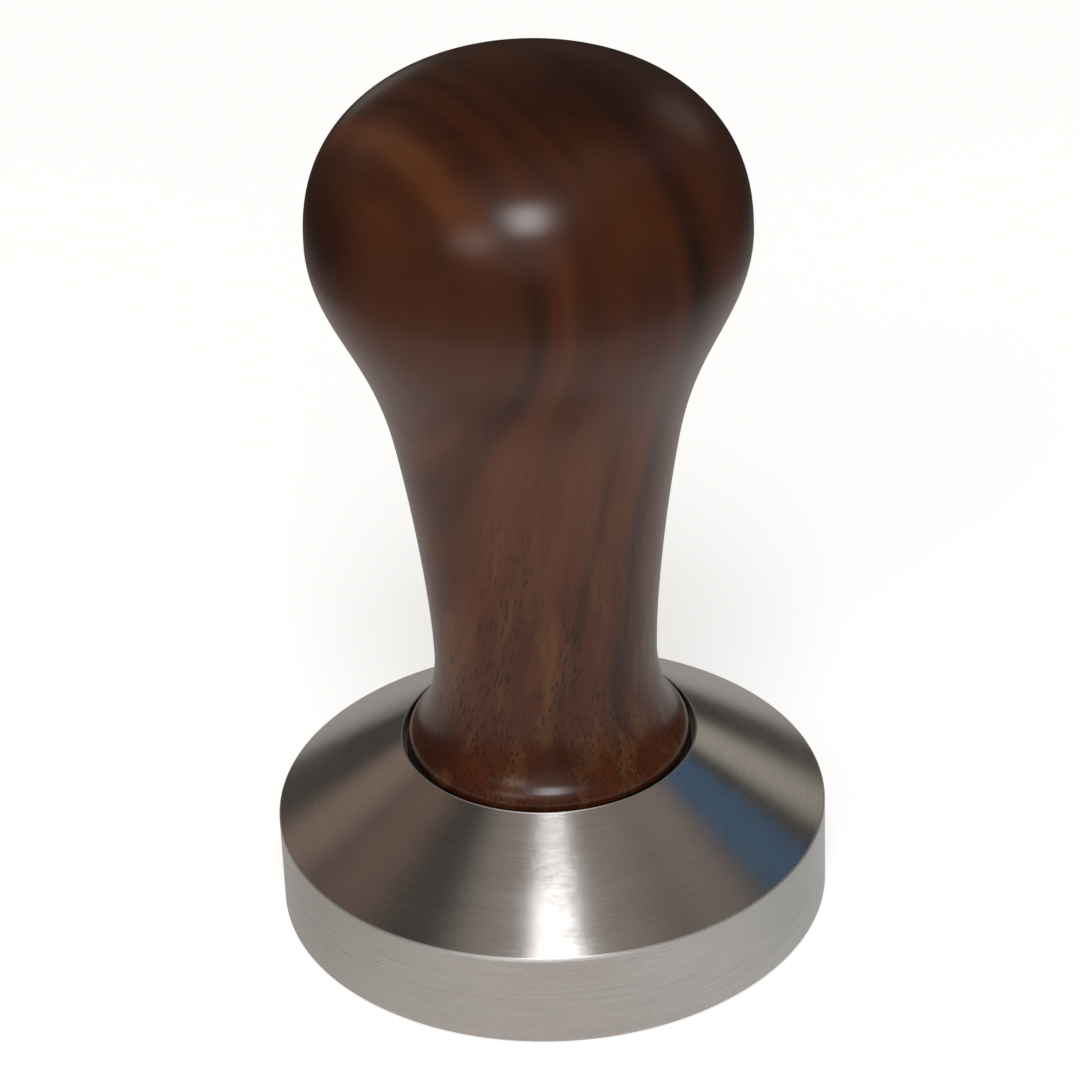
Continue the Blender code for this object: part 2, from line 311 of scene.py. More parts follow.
class Graph:
    """One material's nodes, with a short call for each kind that the finishes here share."""

    def __init__(self, tree):
        self.tree = tree

    def put(self, socket, value):
        """Links a socket to a value that is another node's output, or sets it."""
        if isinstance(value, bpy.types.NodeSocket):
            self.tree.links.new(value, socket)
        else:
            socket.default_value = value

    def node(self, kind, inputs=(), output=0, **settings):
        """Adds a node and returns one of its outputs, which are named or counted from 0."""
        made = self.tree.nodes.new("ShaderNode" + kind)
        for key, value in settings.items():
            setattr(made, key, value)
        for key, value in dict(inputs).items():
            self.put(made.inputs[key], value)
        return made.outputs[output]

    def math(self, operation, *values):
        return self.node("Math", enumerate(values), operation=operation)

    def total(self, first, second):
        return self.math("ADD", first, second)

    def product(self, first, second):
        return self.math("MULTIPLY", first, second)

    def vector(self, operation, *values, output="Vector"):
        return self.node("VectorMath", enumerate(values), output, operation=operation)

    def scaled(self, vector, factor):
        return self.node("VectorMath", {"Vector": vector, "Scale": factor}, operation="SCALE")

    def noise(self, vector, scale, detail=2.0, roughness=0.5):
        inputs = {"Vector": vector, "Scale": scale, "Detail": detail, "Roughness": roughness}
        return self.node("TexNoise", inputs)

    def remap(self, value, low, high, to_low=0.0, to_high=1.0, smooth=False):
        kind = "SMOOTHSTEP" if smooth else "LINEAR"
        inputs = enumerate((value, low, high, to_low, to_high))
        return self.node("MapRange", inputs, interpolation_type=kind, clamp=True)

    def mix(self, factor, first, second, blend="MIX"):
        """Mixes two colours, through the sockets that a Mix node has for colours."""
        made = self.tree.nodes.new("ShaderNodeMix")
        made.data_type = "RGBA"
        made.blend_type = blend
        for index, value in ((0, factor), (6, first), (7, second)):
            self.put(made.inputs[index], value)
        return made.outputs[2]

    def ramp(self, value, stops, interpolation):
        """A colour ramp over (position, colour) stops."""
        made = self.tree.nodes.new("ShaderNodeValToRGB")
        made.color_ramp.interpolation = interpolation
        elements = made.color_ramp.elements
        while len(elements) < len(stops):
            elements.new(0.5)
        for element, (position, colour) in zip(elements, stops):
            element.position = position
            element.color = (*colour, 1.0)
        self.put(made.inputs[0], value)
        return made.outputs[0]

    def bump(self, height, distance, strength):
        return self.node("Bump", {"Height": height, "Distance": distance, "Strength": strength})


def new_material(name, **constants):
    """A Principled material with constant sockets set, its graph, and a setter for the rest."""
    material = bpy.data.materials.new(name)
    material.use_nodes = True
    shader = material.node_tree.nodes["Principled BSDF"]
    graph = Graph(material.node_tree)

    def put(socket, value):
        graph.put(shader.inputs[socket], value)

    for key, value in constants.items():
        put(key.replace("_", " "), value)
    return material, graph, put


def millimetres(graph):
    """The place on the piece, in millimetres."""
    coordinates = graph.node("TexCoord", output="Object")
    return graph.scaled(coordinates, 1.0 / MM)


# The wood's numbers are in millimetres. Its growth layers cut the handle as leaning planes.
LAYER_NORMAL = (0.84, 0.544, -0.04)
LAYER_ACROSS = (-0.544, 0.84, 0.0)
LAYER_OFFSET = 1.4
LAYER_SPAN = 24.0
VESSEL_LEAN = 0.30
KNOB_BLEND = (58.0, 72.0)
# Two heights, and how far the layers on the right have leant over at each
NECK_LEAN = (28.0, 60.0, -1.28, 1.13)
KNOB_LEAN = (83.0, 95.0, 0.0, -1.8)
# Layers over which the lean sets in
LEANING_LAYERS = (-9.0, -5.0)
# Heights over which low features fade out
VESSEL_CROWD_FADE = (26.0, 42.0)
FLAME_FADE = (34.0, 58.0)
VESSEL_FADE = (38.0, 62.0)
FOOT_PAINTED_SHADE_FADE = (40.0, 54.0)
# How much darker the knob is painted, as painted shade: less on its left, and not at all at the top
# there
KNOB_PAINTED_SHADE = 0.36
LEFT_PAINTED_SHADE = 0.20
LEFT_PAINTED_SHADE_FADE = (83.0, 91.0)
LEFT_LAYERS = (-18.0, -12.0)

# Cells of the noises: through the layers, across them and up the handle
WAVER_CELLS = (18.0, 18.0, 40.0)
RIPPLE_CELLS = (2.6, 3.0, 6.0)
UNEVEN_CELLS = (3.0, 9.0, 16.0)
FLAME_CELLS = (2.4, 3.6, 14.0)
SHEET_CELLS = (0.8, 10.0, 30.0)
FIBRE_CELLS = (0.30, 0.5, 7.0)
VESSEL_CELLS = (0.34, 0.34, 2.3)
CROWD_CELLS = (2.0, 6.0, 12.0)
LACQUER_CELLS = (3.0, 3.0, 7.0)

WOOD_TONES = {
    "orange": (0.158, 0.055, 0.020),
    "red": (0.118, 0.033, 0.0115),
    "mid": (0.096, 0.029, 0.0105),
    "brown": (0.070, 0.022, 0.009),
    "dark": (0.038, 0.014, 0.0075),
    "black": (0.012, 0.008, 0.0075),
}
# A tint that multiplies the tones on the knob, painted shade that darkens them low down, the paler
# flames, and the open vessels
KNOB_TINT = (1.03, 0.90, 0.86, 1.0)
FOOT_PAINTED_SHADE = (0.77, 0.63, 0.58, 1.0)
GOLDEN = (0.135, 0.054, 0.018, 1.0)
PORE_COLOUR = (0.026, 0.009, 0.005, 1.0)
# Where each tone lies across the layers
LAYERS = (
    (-24.0, "brown"),
    (-22.2, "mid"),
    (-20.6, "mid"),
    (-19.2, "brown"),
    (-17.4, "orange"),
    (-16.4, "orange"),
    (-15.0, "brown"),
    (-13.4, "brown"),
    (-12.4, "red"),
    (-11.2, "red"),
    (-9.6, "mid"),
    (-8.4, "brown"),
    (-7.0, "red"),
    (-5.4, "mid"),
    (-4.1, "mid"),
    (-2.2, "mid"),
    (-0.8, "red"),
    (0.6, "red"),
    (1.8, "brown"),
    (3.2, "brown"),
    (4.8, "mid"),
    (7.0, "red"),
    (9.5, "mid"),
    (11.6, "brown"),
    (13.6, "red"),
    (15.2, "dark"),
    (16.6, "mid"),
    (19.0, "orange"),
    (22.0, "brown"),
)
# Streaks that run part of the way: layer, half width, soft edge, heights over which each fades in
# and out, tone and strength
STREAKS = (
    (-3.9, 0.6, 2.2, (84.0, 88.0), (92.0, 96.0), "orange", 0.35),
    (-3.0, 1.5, 2.5, (73.0, 78.0), (82.0, 86.0), "brown", 0.45),
    (2.2, 0.1, 2.8, (66.0, 80.0), (84.0, 96.0), "black", 0.56),
    (2.2, 0.4, 1.2, (18.0, 20.0), (58.0, 70.0), "dark", 0.50),
    (-13.3, 0.1, 1.5, (64.0, 70.0), (82.0, 88.0), "dark", 0.68),
    (-10.7, 0.1, 0.9, (66.0, 72.0), (84.0, 90.0), "orange", 0.45),
    (-18.6, 2.6, 2.0, (60.0, 68.0), (84.5, 90.0), "brown", 0.55),
    (-17.0, 0.6, 1.8, (62.0, 70.0), (84.5, 90.0), "brown", 0.65),
    (-14.7, 0.1, 1.9, (44.0, 54.0), (64.0, 76.0), "dark", 0.55),
    (-17.2, 0.2, 1.1, (56.0, 62.0), (68.0, 74.0), "brown", 0.70),
    (-12.9, 0.1, 1.1, (90.5, 93.5), (97.0, 99.0), "dark", 0.40),
    (-9.4, 0.1, 0.8, (91.0, 94.5), (97.0, 99.0), "dark", 0.40),
    (-5.2, 0.1, 1.5, (90.0, 94.0), (97.0, 99.0), "dark", 0.45),
    (-3.3, 0.1, 0.8, (26.0, 34.0), (54.0, 64.0), "dark", 0.60),
    (-19.8, 0.4, 1.5, (79.0, 88.0), (97.0, 99.0), "dark", 0.45),
)
# Layers that are rich in open vessels: middle and half width
PORE_ROWS = ((-10.3, 1.7), (-3.6, 1.5), (2.0, 1.6))
# Darker places in the knob and the foot: centre, inner and outer radius, what remains of the tone
DARK_PATCHES = (
    ((-21.0, -8.0, 83.5), 2.0, 9.5, 0.50),
    ((7.0, -2.0, 95.0), 3.0, 12.5, 0.50),
    ((-12.0, -5.0, 22.5), 2.0, 7.0, 0.62),
    ((1.5, -13.0, 23.0), 1.5, 5.5, 0.70),
)


class Grain:
    """Places in the wood, in millimetres: through its layers, across them and up the handle."""

    def __init__(self, graph):
        self.graph = graph
        self.place = millimetres(graph)
        self.height = graph.node("SeparateXYZ", {0: self.place}, "Z")
        plane = graph.vector("DOT_PRODUCT", self.place, LAYER_NORMAL, output="Value")
        self.layer = graph.math("ADD", plane, LAYER_OFFSET)
        across = graph.vector("DOT_PRODUCT", self.place, LAYER_ACROSS, output="Value")
        self.across = graph.math("MULTIPLY_ADD", self.height, VESSEL_LEAN, across)
        self.on_knob = graph.remap(self.height, *KNOB_BLEND, smooth=True)

    def stretched(self, cells, shift=0.0):
        """Noise coordinates in cells of the given size, moved up the handle by shift cells."""
        graph = self.graph
        through, sideways, along = cells
        parts = {
            "X": graph.math("DIVIDE", self.layer, through),
            "Y": graph.math("DIVIDE", self.across, sideways),
            "Z": graph.math("MULTIPLY_ADD", self.height, 1 / along, shift),
        }
        return graph.node("CombineXYZ", parts)

    def noise(self, cells, detail=1.0, roughness=0.5, shift=0.0):
        return self.graph.noise(self.stretched(cells, shift), 1.0, detail, roughness)


def centred(graph, noise, amount):
    """A noise about zero, scaled."""
    return graph.product(graph.math("SUBTRACT", noise, 0.5), amount)


def distance_from(graph, value, middle):
    return graph.math("ABSOLUTE", graph.math("SUBTRACT", value, middle))


def bent_layers(grain):
    """The place across the layers, once they waver and those on the right lean over."""
    graph = grain.graph
    on_the_right = graph.remap(grain.layer, *LEANING_LAYERS, smooth=True)
    lean = graph.remap(grain.height, *NECK_LEAN)
    lean = graph.total(lean, graph.remap(grain.height, *KNOB_LEAN))
    lean = graph.product(on_the_right, lean)
    waver = centred(graph, grain.noise(WAVER_CELLS), 1.3)
    ripple = centred(graph, grain.noise(RIPPLE_CELLS), 0.8)
    wavy = graph.total(grain.layer, graph.total(waver, ripple))
    return graph.math("SUBTRACT", wavy, lean)


def with_streak(grain, bent, colour, streak):
    """The colour with one more streak laid over it."""
    graph = grain.graph
    middle, half_width, soft, rises, falls, tone, strength = streak
    off = distance_from(graph, bent, middle)
    amount = graph.remap(off, half_width, half_width + soft, strength, 0.0, smooth=True)
    amount = graph.product(amount, graph.remap(grain.height, *rises, smooth=True))
    amount = graph.product(amount, graph.remap(grain.height, *falls, 1.0, 0.0, smooth=True))
    return graph.mix(amount, colour, (*WOOD_TONES[tone], 1.0))


def tinted(graph, amount, colour, tint):
    return graph.mix(amount, colour, graph.mix(1.0, colour, tint, "MULTIPLY"))


def layer_colour(grain, bent):
    """The tones of the layers, partly evened out, then the streaks, the knob's tint, painted shade
    low down and golden flames.
    """
    graph = grain.graph
    stops = [((u + LAYER_SPAN) / (2 * LAYER_SPAN), WOOD_TONES[tone]) for u, tone in LAYERS]
    colour = graph.ramp(graph.remap(bent, -LAYER_SPAN, LAYER_SPAN), stops, "B_SPLINE")
    uneven = grain.noise(UNEVEN_CELLS, shift=1.3)
    evened = graph.total(graph.remap(uneven, 0.35, 0.65, 0.0, 0.5), 0.20)
    evened = graph.math("SUBTRACT", evened, graph.product(grain.on_knob, 0.2))
    colour = graph.mix(evened, colour, (*WOOD_TONES["mid"], 1.0))
    for streak in STREAKS:
        colour = with_streak(grain, bent, colour, streak)
    colour = tinted(graph, grain.on_knob, colour, KNOB_TINT)
    # Painted shade: the tones are darkened low on the handle, where less light falls and less is
    # reflected
    low = graph.remap(grain.height, *FOOT_PAINTED_SHADE_FADE, 1.0, 0.0, smooth=True)
    colour = tinted(graph, low, colour, FOOT_PAINTED_SHADE)
    flame = graph.remap(grain.noise(FLAME_CELLS, 2.0, shift=8.1), 0.48, 0.66, 0.0, 0.65)
    below_waist = graph.remap(grain.height, *FLAME_FADE, 1.0, 0.15, smooth=True)
    return graph.mix(graph.product(flame, below_waist), colour, GOLDEN)


def wood_shade(grain, fibres):
    """What multiplies the colour: thin layers and fibres, painted shade that darkens the knob, and
    the dark patches.
    """
    graph = grain.graph
    sheets = grain.noise(SHEET_CELLS, 3.0, 0.6)
    fine = graph.total(centred(graph, sheets, 0.45), centred(graph, fibres, 0.55))
    fade = graph.remap(grain.on_knob, 0.0, 1.0, 1.0, 0.3)
    shade = graph.math("MULTIPLY_ADD", fine, fade, 1.0)
    # Painted shade: the knob's colour is darkened for the lesser light on it, less so on its left
    on_left = graph.remap(grain.height, *LEFT_PAINTED_SHADE_FADE, LEFT_PAINTED_SHADE, 0.0, smooth=True)
    darker = graph.remap(grain.layer, *LEFT_LAYERS, on_left, KNOB_PAINTED_SHADE, smooth=True)
    darker = graph.product(darker, grain.on_knob)
    shade = graph.product(shade, graph.math("SUBTRACT", 1.0, darker))
    for centre, inner, outer, remaining in DARK_PATCHES:
        away = graph.vector("DISTANCE", grain.place, centre, output="Value")
        patch = graph.remap(away, inner, outer, remaining, 1.0, smooth=True)
        shade = graph.product(shade, patch)
    return shade


def wood_pores(grain, bent):
    """Open vessels: short dashes in rows, larger and closer low on the handle."""
    graph = grain.graph
    cells = {"Vector": grain.stretched(VESSEL_CELLS), "Scale": 1.0}
    distance = graph.node("TexVoronoi", cells, "Distance", feature="F1")
    cell_colour = graph.node("TexVoronoi", cells, "Color", feature="F1")
    chance = graph.node("SeparateColor", {0: cell_colour}, "Red")
    crowd = graph.remap(grain.noise(CROWD_CELLS, shift=3.7), 0.42, 0.62, 0.0, 0.5)
    for middle, half_width in PORE_ROWS:
        off = distance_from(graph, bent, middle)
        row = graph.remap(off, 0.4 * half_width, 1.4 * half_width, 0.55, 0.0, smooth=True)
        crowd = graph.total(crowd, row)
    near_foot = graph.remap(grain.height, *VESSEL_CROWD_FADE, 0.38, 0.0, smooth=True)
    size = graph.remap(graph.total(crowd, near_foot), 0.0, 1.0, 0.12, 0.43)
    size = graph.product(size, graph.remap(chance, 0.0, 1.0, 0.45, 1.1))
    pores = graph.remap(graph.math("SUBTRACT", size, distance), -0.03, 0.07)
    below_waist = graph.remap(grain.height, *VESSEL_FADE, 1.0, 0.0, smooth=True)
    return graph.product(pores, below_waist)


def walnut_material():
    """Lacquered walnut cut through its growth layers, with vessels that run up the handle."""
    material, graph, put = new_material(
        "lacquered_walnut",
        Coat_Weight=1.0,
        Coat_Roughness=0.26,
        Coat_IOR=1.45,
        Specular_IOR_Level=0.02,
    )
    grain = Grain(graph)
    bent = bent_layers(grain)
    fibres = grain.noise(FIBRE_CELLS, 3.0, 0.6)
    shade = wood_shade(grain, fibres)
    colour = graph.scaled(layer_colour(grain, bent), shade)
    pores = wood_pores(grain, bent)
    put("Base Color", graph.mix(graph.product(pores, 0.82), colour, PORE_COLOUR))
    put("Roughness", graph.remap(fibres, 0.3, 0.7, 0.40, 0.50))
    relief = graph.math("SUBTRACT", graph.product(fibres, 0.25), pores)
    put("Normal", graph.bump(relief, 0.03 * MM, 0.6))
    lacquer = grain.noise(LACQUER_CELLS, 2.0)
    skin = graph.math("SUBTRACT", lacquer, graph.product(pores, 0.5))
    put("Coat Normal", graph.bump(skin, 0.008 * MM, 0.5))
    return material


# Metals and rubber. Two tones are the ends of a mix.
STEEL_TONES = ((0.63, 0.615, 0.60, 1.0), (0.68, 0.665, 0.65, 1.0))
STUD_COLOUR = (0.42, 0.42, 0.43)
BRASS_COLOUR = (0.72, 0.52, 0.22)
STAIN_DARKNESS = 0.62
RUBBER_TONES = ((0.012, 0.012, 0.012, 1.0), (0.04, 0.038, 0.036, 1.0))
# Marks of turning and use: length in radians round the axis, width in millimetres
FINE_MARKS = (0.03, 0.11)
LONG_LINES = (0.5, 0.20)
SMUDGES = (0.35, 3.0)
RUBS = (0.35, 0.16)
RUB_PLACES = (0.6, 2.2)
TOOL_MARKS = (0.4, 0.12)
# The way down the cone, as radius gained and height lost, and the least radius to divide by
DOWN_THE_CONE = (0.84, 0.54)
AXIS_GUARD = 0.05
# Worn edges, brightened too as a painted glint, in millimetres: height of the middle and reach
WORN_GLINTING_EDGES = ((RIM_HEIGHT / MM - 0.10, 0.26), (CONE_TOP_HEIGHT / MM, 0.06))


def turning_coordinates(graph):
    """Cosine and sine of the angle round Z, and the distance down the turned outline."""
    x, y, z = (graph.node("SeparateXYZ", {0: millimetres(graph)}, axis) for axis in "XYZ")
    radius = graph.math("SQRT", graph.total(graph.product(x, x), graph.product(y, y)))
    safe = graph.math("MAXIMUM", radius, AXIS_GUARD)
    outward, downward = DOWN_THE_CONE
    along = graph.math("SUBTRACT", graph.product(radius, outward), graph.product(z, downward))
    return graph.math("DIVIDE", x, safe), graph.math("DIVIDE", y, safe), along


def ring_noise(graph, turning, size, detail=2.0):
    """Noise that runs round the axis in marks of the given length and width."""
    cosine, sine, along = turning
    length, width = size
    parts = {
        "X": graph.product(cosine, 1 / length),
        "Y": graph.product(sine, 1 / length),
        "Z": graph.product(along, 1 / width),
    }
    return graph.noise(graph.node("CombineXYZ", parts), 1.0, detail, 0.6)


def steel_material():
    """Turned stainless steel: fine rings, smudges, rubs on the band and worn edges with a painted
    glint.
    """
    material, graph, put = new_material(
        "turned_steel_finish", Metallic=1.0, Anisotropic=0.70, Anisotropic_Rotation=0.25
    )
    put("Tangent", graph.node("Tangent", direction_type="RADIAL", axis="Z"))
    turning = turning_coordinates(graph)
    fine = ring_noise(graph, turning, FINE_MARKS, 3.0)
    lines = ring_noise(graph, turning, LONG_LINES, 3.0)
    smudges = ring_noise(graph, turning, SMUDGES)
    wear_and_glint = rim_wear_and_glint(graph)
    scuffs = band_scuffs(graph, turning)
    tone = graph.remap(graph.total(fine, lines), 0.7, 1.3, 0.93, 1.07)
    tone = graph.product(tone, graph.remap(scuffs, 0.0, 1.0, 1.0, 0.90))
    # Painted glint: the worn edges' base colour is raised above the steel's to draw a bright line;
    # the added roughness is wear
    tone = graph.product(tone, graph.remap(wear_and_glint, 0.0, 1.0, 1.0, 1.45))
    colour = graph.mix(graph.remap(smudges, 0.3, 0.7), *STEEL_TONES)
    put("Base Color", graph.scaled(colour, tone))
    smudged = graph.remap(smudges, 0.3, 0.7, 0.0, 0.025)
    rough = graph.total(graph.remap(fine, 0.3, 0.7, 0.165, 0.215), smudged)
    rough = graph.math("MULTIPLY_ADD", wear_and_glint, 0.40, rough)
    put("Roughness", graph.math("MULTIPLY_ADD", scuffs, 0.1, rough))
    relief = graph.total(graph.product(fine, 0.7), graph.product(lines, 0.3))
    put("Normal", graph.bump(relief, 0.004 * MM, 0.5))
    return material


def rim_wear_and_glint(graph):
    """Where handling has worn the edge of the band and the lip of the recess, and where a glint is
    painted on them.
    """
    height = graph.node("SeparateXYZ", {0: millimetres(graph)}, "Z")
    edges = []
    for middle, reach in WORN_GLINTING_EDGES:
        off = distance_from(graph, height, middle)
        edges.append(graph.remap(off, 0.5 * reach, reach, 1.0, 0.0, smooth=True))
    return graph.math("MAXIMUM", *edges)


def band_scuffs(graph, turning):
    """Faint dark rubs that run round the band."""
    thin = graph.remap(ring_noise(graph, turning, RUBS), 0.55, 0.68)
    places = graph.remap(ring_noise(graph, turning, RUB_PLACES, 1.0), 0.50, 0.62, smooth=True)
    height = graph.node("SeparateXYZ", {0: millimetres(graph)}, "Z")
    rim = RIM_HEIGHT / MM
    on_band = graph.remap(height, rim - 1.2, rim, 1.0, 0.12, smooth=True)
    return graph.product(graph.product(thin, places), on_band)


def plain_metal(name, colour, roughness):
    """Machined metal with tool marks and a darker stain."""
    material, graph, put = new_material(name, Metallic=1.0)
    marks = ring_noise(graph, turning_coordinates(graph), TOOL_MARKS, 3.0)
    stain = graph.remap(graph.noise(millimetres(graph), 0.35, 3.0), 0.35, 0.75)
    darker = [STAIN_DARKNESS * channel for channel in colour]
    put("Base Color", graph.mix(stain, (*colour, 1.0), (*darker, 1.0)))
    put("Roughness", graph.remap(marks, 0.3, 0.7, roughness - 0.06, roughness + 0.1))
    put("Normal", graph.bump(marks, 0.006 * MM, 0.5))
    return material


def rubber_material():
    """Matt black rubber with a little dust."""
    material, graph, put = new_material("black_rubber_finish", Specular_IOR_Level=0.4)
    place = millimetres(graph)
    dust = graph.noise(place, 1.6, 4.0, 0.65)
    put("Base Color", graph.mix(graph.remap(dust, 0.5, 0.8), *RUBBER_TONES))
    put("Roughness", graph.remap(dust, 0.35, 0.7, 0.55, 0.8))
    put("Normal", graph.bump(graph.noise(place, 9.0, 3.0), 0.02 * MM, 0.5))
    return material


# ---------------------------------------------------------------- pieces


def make_base(material):
    """The piston, with the recess for the gasket and the tapped hole for the stud."""
    base = turned("base_turned", base_outline())
    hole = (RECESS_FLOOR, BASE_THREAD_END, BASE_HOLE_END, BASE_HOLE_FLARE)
    cut_tapped_hole(base, FEMALE_THREAD, *hole)
    finish_piece(base, material, "base", "base", sharp_angle=12.0)


def make_stud(material):
    """A set screw with tapered ends and a hexagon socket in its top."""
    top, bottom = STUD_HIGH.z, STUD_LOW.z
    stud = threaded_body("stud_screw", MALE_THREAD, bottom, top)
    crest_radius, *_, steps = MALE_THREAD
    wide = crest_radius + CUTTER_REACH
    end_radius = crest_radius - STUD_END_TAPER
    chamfer = wide - end_radius
    outline = [
        (0.0, top),
        (end_radius, top),
        (wide, top - chamfer),
        (wide, bottom + chamfer),
        (end_radius, bottom),
        (0.0, bottom),
    ]
    trim(stud, outline, steps)
    bpy.ops.mesh.primitive_cylinder_add(
        vertices=6,
        radius=SOCKET_WIDTH / math.sqrt(3.0),
        depth=2 * SOCKET_DEPTH,
        location=(0.0, 0.0, top),
    )
    cut(stud, bpy.context.object)
    finish_piece(stud, material, "base", "threaded_stud")


def make_insert(material):
    """An insert with a wood thread outside, the stud's thread inside and a slot underneath."""
    top, bottom = INSERT_HIGH.z, INSERT_LOW.z
    insert = threaded_body("insert_slotted", WOOD_THREAD, bottom, top)
    crest_radius, _, depth, _, steps = WOOD_THREAD
    wide = crest_radius + CUTTER_REACH
    end_radius = crest_radius - depth - INSERT_END_TAPER
    chamfer = wide - end_radius
    outline = [
        (0.0, top),
        (end_radius, top),
        (wide, top - chamfer),
        (wide, bottom),
        (0.0, bottom),
    ]
    trim(insert, outline, steps)
    cut(insert, threaded_body("insert_tap", FEMALE_THREAD, bottom, top))
    slot_size = (4 * crest_radius, SLOT_WIDTH, 2 * SLOT_DEPTH)
    bpy.ops.mesh.primitive_cube_add(size=1.0, location=(0.0, 0.0, bottom), scale=slot_size)
    cut(insert, bpy.context.object)
    finish_piece(insert, material, "handle", "brass_insert")


def make_gasket(material):
    """A flat ring with rounded edges."""
    inner = GASKET_INNER_RADIUS + GASKET_EDGE
    outer = GASKET_HIGH.x - GASKET_EDGE
    top = GASKET_HIGH.z - GASKET_EDGE
    bottom = GASKET_LOW.z + GASKET_EDGE
    outline = []
    for i, corner in enumerate(((inner, top), (outer, top), (outer, bottom), (inner, bottom))):
        outline += arc(corner, GASKET_EDGE, 180.0 - 90.0 * i, 90.0 - 90.0 * i, 3)
    outline.append(outline[0])
    gasket = turned("gasket_ring", outline)
    seal(gasket)
    finish_piece(gasket, material, "gasket", "gasket")


def make_handle(material):
    """The turned wood, with the bore that the insert is driven into."""
    handle = turned("handle_turned", handle_outline())
    hole = (FOOT_BOTTOM, BORE_THREAD_END, BORE_END, BORE_FLARE)
    cut_tapped_hole(handle, WOOD_BORE_THREAD, *hole)
    finish_piece(handle, material, "handle", "handle")


# ---------------------------------------------------------------- stage, light and camera


# A hair of air under the tamper, so that its face and the floor never share a plane
FLOOR_GAP = 0.03 * MM
FLOOR_RADIUS = 4.0
FLOOR_GLOW = 0.66
# How bright the table looks in reflections, by distance from the axis in millimetres
TABLE_RINGS = ((0.0, 0.45), (95.0, 0.44), (120.0, 0.41), (150.0, 0.20), (185.0, 0.08), (240.0, 0.03))
TABLE_REACH = 240.0
TABLE_LEFT_TINT = (0.96, 0.89, 0.84, 1.0)
TABLE_RIGHT_TINT = (1.08, 1.08, 1.06, 1.0)
# Soft cards of the surroundings: elevation, azimuth, half width in degrees, softness, colour
CARDS = (
    (76.0, 180.0, 24.0, 8.0, (0.21, 0.18, 0.16)),
    (27.0, -42.0, 10.0, 6.0, (0.20, 0.14, 0.11)),
    (46.0, -60.0, 10.0, 8.0, (0.12, 0.07, 0.05)),
    (60.0, 73.0, 12.0, 7.0, (0.205, 0.165, 0.145)),
    (38.0, 58.5, 9.0, 6.0, (0.0, 0.068, 0.155)),
    (19.5, 35.0, 9.0, 5.0, (0.355, 0.33, 0.28)),
    (26.0, 180.0, 12.0, 9.0, (0.45, 0.43, 0.41)),
    (36.0, -148.0, 8.0, 6.0, (2.4, 2.35, 2.25)),
    (-4.0, -14.0, 6.0, 3.0, (0.30, 0.29, 0.27)),
)
SURROUNDINGS = (0.070, 0.062, 0.055, 1.0)
BELOW_TABLE = (0.03, 0.03, 0.03, 1.0)
BACKDROP = (0.9, 0.9, 0.895, 1.0)
# Lights: elevation, azimuth, distance, size, power and colour
KEY = (57.0, 181.0, 1.3, (0.30, 0.42), 5.1, (0.98, 0.99, 1.0))
FILL = (38.0, 180.0, 1.6, (1.2, 0.7), 3.8, (1.0, 0.99, 0.98))
LIGHT_TARGET = Vector((0.0, 0.0, 0.045))
# Camera: the focal length and the sensor are in millimetres
CAMERA_LOCATION = Vector((0.0, -0.39075, 0.28186))
CAMERA_TARGET = Vector((-0.000125, 0.0, 0.042675))
CAMERA_ROLL = math.radians(2.37)
SENSOR_WIDTH = 36.0
FOCAL_LENGTH = 148.77
NEAREST_SEEN = 0.01
FARTHEST_SEEN = 50.0


def make_disc(name, radius, material):
    """A round part of the stage, just below the tamper."""
    mesh = bpy.data.meshes.new(name)
    disc = bmesh.new()
    bmesh.ops.create_circle(disc, cap_ends=True, segments=96, radius=radius)
    disc.to_mesh(mesh)
    disc.free()
    mesh.materials.append(material)
    made = add_object(name, mesh)
    made.location.z = -FLOOR_GAP
    return made


def make_floor():
    """A pale floor, lit a little from within so that the shadow stays soft."""
    material, _, put = new_material("pale_floor", Roughness=0.9, Specular_IOR_Level=0.0)
    put("Base Color", (0.80, 0.80, 0.795, 1.0))
    put("Emission Color", (1.0, 0.995, 0.985, 1.0))
    put("Emission Strength", FLOOR_GLOW)
    floor = make_disc("floor", FLOOR_RADIUS, material)
    floor.visible_glossy = False


def make_table_glow():
    """What shines in lacquer and steel from below: a bright table, dark further out."""
    material = bpy.data.materials.new("table_glow")
    material.use_nodes = True
    tree = material.node_tree
    tree.nodes.clear()
    graph = Graph(tree)
    place = millimetres(graph)
    radius = graph.vector("LENGTH", place, output="Value")
    stops = [(r / TABLE_REACH, (level, level, level)) for r, level in TABLE_RINGS]
    light = graph.ramp(graph.math("DIVIDE", radius, TABLE_REACH), stops, "EASE")
    outward = graph.vector("NORMALIZE", place)
    x, y = (graph.node("SeparateXYZ", {0: outward}, axis) for axis in "XY")
    tint = graph.mix(graph.remap(x, 0.2, 1.0), TABLE_LEFT_TINT, TABLE_RIGHT_TINT)
    front = graph.remap(y, -1.0, -0.2, 1.30, 0.97, smooth=True)
    light = graph.mix(1.0, light, tint, "MULTIPLY")
    glow = graph.node("Emission", {"Color": light, "Strength": front})
    out = tree.nodes.new("ShaderNodeOutputMaterial")
    tree.links.new(glow, out.inputs["Surface"])
    card = make_disc("table_glow", TABLE_REACH * MM, material)
    card.visible_camera = False
    card.visible_diffuse = False
    card.visible_transmission = False
    card.visible_shadow = False


def direction(elevation, azimuth):
    """A unit vector. Azimuth is in degrees from +Y towards +X."""
    up, round_z = math.radians(elevation), math.radians(azimuth)
    level = math.cos(up)
    return Vector((level * math.sin(round_z), level * math.cos(round_z), math.sin(up)))


